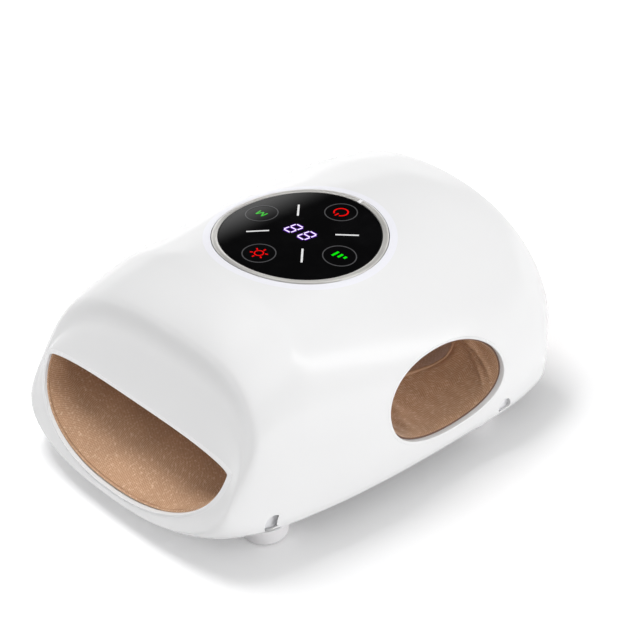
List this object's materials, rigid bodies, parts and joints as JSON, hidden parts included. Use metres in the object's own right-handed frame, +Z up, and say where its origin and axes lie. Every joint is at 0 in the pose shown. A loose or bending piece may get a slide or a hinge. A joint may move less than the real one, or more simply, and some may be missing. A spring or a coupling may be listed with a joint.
{
  "type": "hand massager",
  "caption": "Loaf-shaped hand massager: white shell round a fabric-lined hand tunnel with air-bag press pads, heat, thumb holes and a round black touch panel.",
  "frame": {"origin": "centre of the footprint, on the plane the feet stand on", "axes": "+X to the right side with the visible thumb hole, +Y from the finger opening towards the wrist end, +Z up through the touch panel"},
  "size_m": [0.1846, 0.2117, 0.0873],
  "materials": {
    "white_gloss": "gloss white moulded plastic",
    "white_satin": "satin white plastic",
    "foot_white": "off-white soft rubber",
    "chrome": "bright chrome plate",
    "black_glass": "polished black acrylic",
    "tan_knit": "tan satin knit",
    "frame_grey": "grey moulded plastic",
    "board_green": "green circuit board",
    "chip_black": "black moulded plastic",
    "steel": "plain steel",
    "cell_blue": "blue shrink sleeve",
    "bag_film": "welded bag film",
    "rubber_black": "black rubber",
    "hose_clear": "milky silicone",
    "heat_film": "amber heating film"
  },
  "bodies": {
    "housing": {"air_manifold": "white_satin", "base_cover": "white_satin", "base_screw_front_left": "steel", "base_screw_front_right": "steel", "base_screw_rear_left": "steel", "base_screw_rear_right": "steel", "battery_cell": "cell_blue", "battery_holder": "chip_black", "battery_lead_negative": "rubber_black", "battery_lead_positive": "rubber_black", "buzzer": "chip_black", "charge_board": "board_green", "charge_socket": "steel", "chrome_ring": "chrome", "control_chip": "chip_black", "display_module": "chip_black", "fabric_liner": "tan_knit", "finger_airbag": "bag_film", "finger_hose": "hose_clear", "finger_valve_body": "steel", "finger_valve_spring": "steel", "foot_front_left": "foot_white", "foot_front_right": "foot_white", "foot_rear_left": "foot_white", "foot_rear_right": "foot_white", "front_bezel": "white_gloss", "heating_film": "heat_film", "lower_frame": "frame_grey", "main_board": "board_green", "massage_node_plate": "white_satin", "palm_airbag": "bag_film", "palm_hose": "hose_clear", "palm_valve_body": "steel", "palm_valve_spring": "steel", "panel_glass": "black_glass", "panel_tray": "frame_grey", "pump_head": "chip_black", "pump_hose": "hose_clear", "pump_motor": "steel", "pump_saddle": "rubber_black", "rear_cover": "white_satin", "ribbon_cable": "rubber_black", "side_screw_front_left": "steel", "side_screw_front_right": "steel", "side_screw_rear_left": "steel", "side_screw_rear_right": "steel", "thumb_rim_left": "white_gloss", "thumb_rim_right": "white_gloss", "top_shell": "white_gloss", "touch_board": "board_green", "touch_spring_1": "steel", "touch_spring_2": "steel", "touch_spring_3": "steel", "touch_spring_4": "steel", "upper_frame": "frame_grey"},
    "finger_pad": {"finger_press_pad": "tan_knit"},
    "palm_pad": {"palm_press_pad": "tan_knit"},
    "rotor": {"pump_rotor": "steel"},
    "finger_plunger": {"finger_valve_plunger": "steel"},
    "palm_plunger": {"palm_valve_plunger": "steel"}
  },
  "joints": [
    {"name": "finger_pad_slide", "type": "slide", "parent": "housing", "child": "finger_pad", "axis": [0, 0, -1], "range_m": [0, 0.008], "stiffness_N_per_m": 60, "springref_m": -0.01, "deforming": ["finger_airbag"]},
    {"name": "palm_pad_slide", "type": "slide", "parent": "housing", "child": "palm_pad", "axis": [0, 0, -1], "range_m": [0, 0.01], "stiffness_N_per_m": 80, "springref_m": -0.012, "deforming": ["palm_airbag"]},
    {"name": "pump_spin", "type": "hinge", "parent": "housing", "child": "rotor", "pos_m": [0.0755, 0.078, 0.0243], "axis": [0, 1, 0], "continuous": true},
    {"name": "finger_valve_slide", "type": "slide", "parent": "housing", "child": "finger_plunger", "axis": [0, 0, -1], "range_m": [0, 0.0012], "stiffness_N_per_m": 80, "springref_m": -0.002, "deforming": ["finger_valve_spring"]},
    {"name": "palm_valve_slide", "type": "slide", "parent": "housing", "child": "palm_plunger", "axis": [0, 0, -1], "range_m": [0, 0.0012], "stiffness_N_per_m": 80, "springref_m": -0.002, "deforming": ["palm_valve_spring"]}
  ]
}
